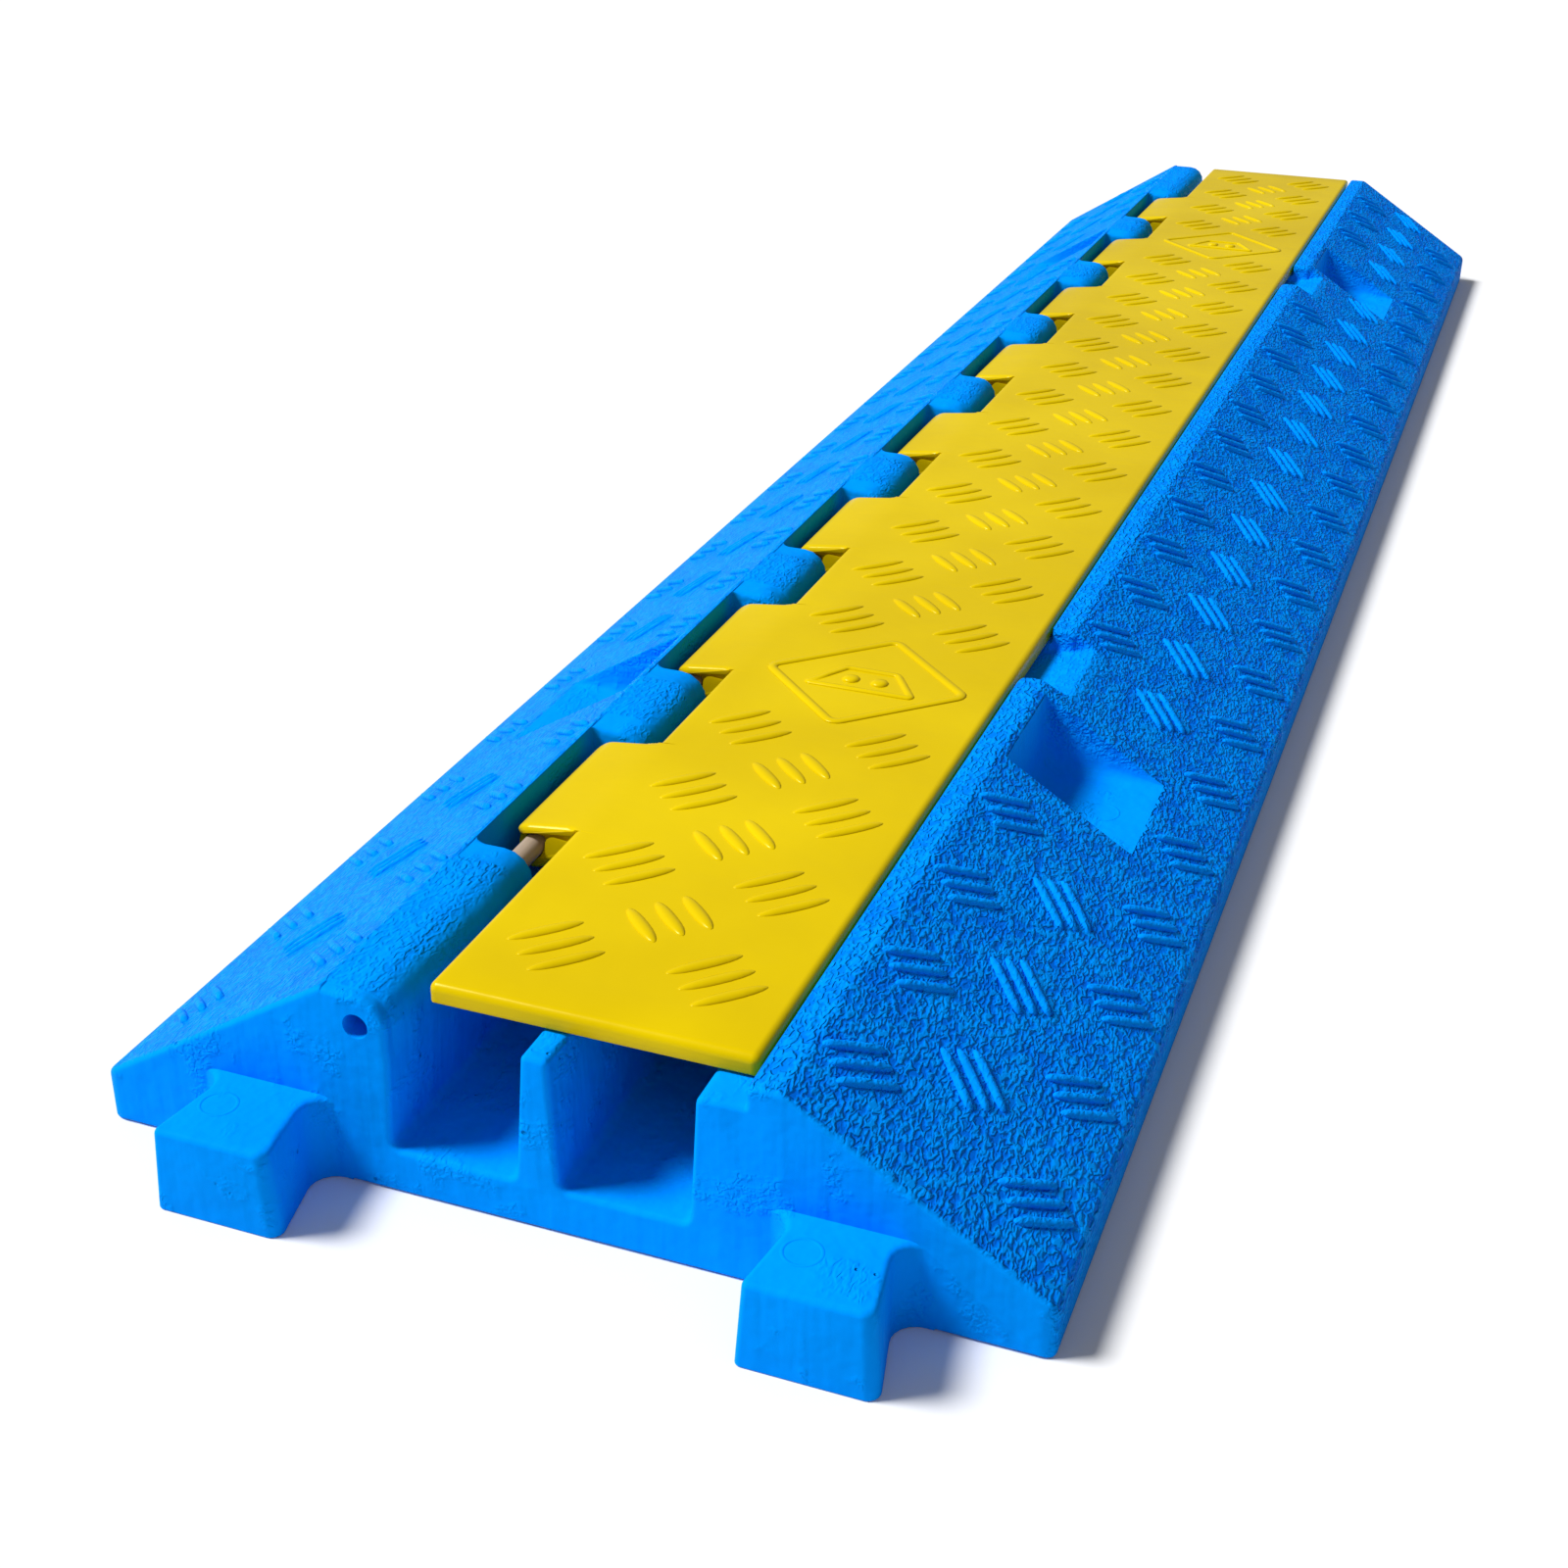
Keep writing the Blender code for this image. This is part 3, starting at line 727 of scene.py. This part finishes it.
def bar_frames(middles, angle, gap, across_dir, up):
    """Frames of three bars at each middle, turned 'angle' degrees from across_dir towards +Y."""
    across_dir = np.array(across_dir)
    y_dir = np.array((0.0, 1.0, 0.0))
    turn = math.radians(angle)
    along = across_dir * math.cos(turn) + y_dir * math.sin(turn)
    side = -across_dir * math.sin(turn) + y_dir * math.cos(turn)
    frames = []
    for middle in middles:
        for k in (-1, 0, 1):
            frames.append((middle + side * gap * k, along, side, up))
    return frames


# x of a column's middle, angle of its bars, length of its bars
LID_COLUMNS = ((-0.0138, 45, 0.0197), (0.0066, -45, 0.0175), (0.0276, 45, 0.0197))
TREAD_PITCH = 0.0425
LID_FIRST = 0.0367 - HALF_LENGTH
SIGN_PLACES = (LID_FIRST + 4 * TREAD_PITCH, LID_FIRST + 18 * TREAD_PITCH)
lid_bars, lid_frames = [], []
for x, angle, length in LID_COLUMNS:
    middle_column = angle < 0
    first = LID_FIRST + (TREAD_PITCH / 2 if middle_column else 0)
    clear = 0.045 if middle_column else 0.030
    places = first + TREAD_PITCH * np.arange(22 if middle_column else 23)
    places = [y for y in places if min(abs(y - s) for s in SIGN_PLACES) > clear]
    middles = np.array([(x, y, HEIGHT) for y in places])
    lid_frames += bar_frames(middles, angle, 0.0074, (1.0, 0.0, 0.0), (0, 0, 1))
    lid_bars += [bar_shape(length, 0.0042, 0.0009, 1.5, 2.2)] * (3 * len(places))
SIGN_X = 0.0070
sign_paths = []
for y in SIGN_PLACES:
    half = 0.0310
    diamond = [(-half, 0, 0.003, 1), (0, half, 0.003, 1), (half, 0, 0.003, 1), (0, -half, 0.003, 1)]
    section = [(-0.0165, -0.007, 0.0012, 1), (-0.0080, 0.007, 0.0012, 1),
               (0.0080, 0.007, 0.0012, 1), (0.0165, -0.007, 0.0012, 1)]
    for corners, width in ((diamond, 0.0034), (section, 0.0026)):
        sign_paths.append((outline(corners, 4)[0] + (SIGN_X, y), HEIGHT, width, 0.00065))
    for x in (-0.0045, 0.0045):            # the two cables, as round dots
        lid_bars.append(bar_shape(0.0055, 0.0055, 0.0010, 0.9, 2.2))
        lid_frames.append(((SIGN_X + x, y - 0.0005, HEIGHT), (1, 0, 0), (0, 1, 0), (0, 0, 1)))
ridges("lid_signs", sign_paths, lid_material, "lid")
tread("lid_tread", lid_bars, np.array(lid_frames, float), lid_material, "lid")

# distance of a column down the slope, where it starts, angle of its bars
RAMP_COLUMNS = ((0.0117, 0.0250, 43), (0.0357, 0.0463, -44), (0.0612, 0.0247, 43))
slope_run = np.array((HALF_WIDTH - CROWN, HEIGHT - EDGE_HEIGHT))
slope_run /= np.linalg.norm(slope_run)
ramp_bars, ramp_frames = [], []
for sign in (1, -1):
    down = np.array((sign * slope_run[0], 0, -slope_run[1]))
    up = np.array((sign * slope_run[1], 0, slope_run[0]))
    for s, start, angle in RAMP_COLUMNS:
        places = start - HALF_LENGTH + TREAD_PITCH * np.arange(23)
        keep = []
        for y in places:
            in_pocket = inside(np.array([y]), HAND_POCKETS)[0] > -0.010 and s < 0.050
            in_notch = sign > 0 and s < 0.020 and inside(np.array([y]), NOTCHES)[0] > -0.006
            if not in_pocket and not in_notch and y < HALF_LENGTH - 0.015:
                keep.append(y)
        crown = np.array((sign * CROWN, 0, HEIGHT))
        middles = np.array([crown + down * s + np.array((0, y, 0)) for y in keep])
        ramp_frames += bar_frames(middles, angle, 0.0051, down, up)
        height = 0.0009 if sign < 0 and angle < 0 else 0.0012       # left middle column is lower
        ramp_bars += [bar_shape(0.0180, 0.0025, height, 0.7, 7.0)] * (3 * len(keep))
ramp_frames = np.array(ramp_frames, float)
ramp_tread = tread("ramp_tread", ramp_bars, ramp_frames, base_material, "base")
bar_grain = np.full(len(ramp_tread.data.vertices), 0.25)
ramp_tread.data.attributes.new("grain", "FLOAT", "POINT").data.foreach_set("value", bar_grain)

RING_WIDTH, RING_HEIGHT = 0.0010, 0.00008
ring_turn = np.radians(-np.arange(0, 360, 15))
ring = 0.0052 * np.stack((np.cos(ring_turn), np.sin(ring_turn)), 1)
marks = [(ring + (side * 0.083, y), POCKET_FLOOR, RING_WIDTH, RING_HEIGHT)
         for side in (-1, 1) for y in HAND_POCKETS.mean(1)]
marks += [(ring * 0.85 + (side * LUG_X - 0.006, -HALF_LENGTH - 0.012), LUG_HEIGHT, RING_WIDTH, RING_HEIGHT)
          for side in (-1, 1)]
ridges("ejector_marks", marks, base_material, "base")

# ---------------------------------------------------------------------------------------------
# Hinge rod. Pultruded fibreglass, 6 mm thick, cut to length and pushed through from one end.


def fibreglass():
    """Dull tan rod with streaks of glass along its length."""
    made, tree, shader = principled("fibreglass", (0.42, 0.33, 0.25), 0.55)
    place = node(tree, "ShaderNodeTexCoord").outputs["Object"]
    stretched = node(tree, "ShaderNodeMapping", Vector=place, Scale=(1, 0.02, 1)).outputs[0]
    streaks = node(tree, "ShaderNodeTexNoise", Vector=stretched, Scale=900.0, Detail=3.0).outputs[0]
    tint = node(tree, "ShaderNodeMix", {"data_type": "RGBA"}, Factor=streaks, A=(0.50, 0.40, 0.31, 1),
                B=(0.30, 0.22, 0.16, 1))
    tree.links.new(tint.outputs["Result"], shader.inputs["Base Color"])
    return made


rod_low, rod_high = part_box("hinge_rod")
rod = round_bar("rod", 0.0030, rod_low[1], rod_high[1], chamfer=0.0003)
rod.data.materials.append(fibreglass())
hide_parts("hinge_rod")
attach(rod, "base")

# ---------------------------------------------------------------------------------------------
# Studio. A plain pale floor, white surroundings, a soft key light from the upper left with a weak
# fill light opposite, and the camera.


def studio():
    """White surroundings, dimmer as a light than as a backdrop, a floor and two soft suns."""
    world = bpy.data.worlds.new("studio")
    bpy.context.scene.world = world
    world.use_nodes = True
    tree = world.node_tree
    background = tree.nodes["Background"]
    background.inputs["Color"].default_value = (1, 1, 1, 1)
    seen = node(tree, "ShaderNodeLightPath").outputs["Is Camera Ray"]
    tree.links.new(calc(tree, "MULTIPLY_ADD", seen, 0.82, 0.18), background.inputs["Strength"])
    bpy.context.scene.view_settings.view_transform = "Standard"
    mesh = bpy.data.meshes.new("floor")
    r = 12.0
    mesh.from_pydata([(-r, -r, 0), (r, -r, 0), (r, r, 0), (-r, r, 0)], [], [(0, 1, 2, 3)])
    made, _, _ = principled("floor_paint", (0.83, 0.83, 0.83), 0.9)
    mesh.materials.append(made)
    linked("floor", mesh)
    for name, towards, size, power in (
        ("key", (0.60, 0.20, -0.775), 18, 4.3), ("fill", (-0.4, 0.8, -0.6), 40, 0.15),
    ):
        lamp = bpy.data.lights.new(name, "SUN")
        lamp.angle = math.radians(size)
        lamp.energy = power
        linked(name, lamp).matrix_world = look_along(towards).to_4x4()


def look_along(direction, roll=0.0):
    """Rotation of a lamp or camera, which looks down its own -Z: X axis level, then turned by 'roll'."""
    back = -np.array(direction, float)
    back /= np.linalg.norm(back)
    right = np.cross((0, 0, 1), back)
    right /= np.linalg.norm(right)
    up = np.cross(back, right)
    turned = right * math.cos(roll) + up * math.sin(roll)
    raised = -right * math.sin(roll) + up * math.cos(roll)
    return Matrix(np.column_stack((turned, raised, back)).tolist())


def camera():
    """Camera above the lug end, to the right of the ramp, looking down along it."""
    yaw, pitch, roll = (math.radians(a) for a in (20.14, -27.54, 0.76))
    lens = bpy.data.cameras.new("camera")
    lens.lens = 49.23
    lens.sensor_width = 36
    lens.clip_start = 0.01
    eye = linked("camera", lens)
    forward = (-math.sin(yaw) * math.cos(pitch), math.cos(yaw) * math.cos(pitch), math.sin(pitch))
    eye.matrix_world = Matrix.Translation((0.1863, -0.8525, 0.3246)) @ look_along(forward, roll).to_4x4()
    bpy.context.scene.camera = eye


studio()
camera()
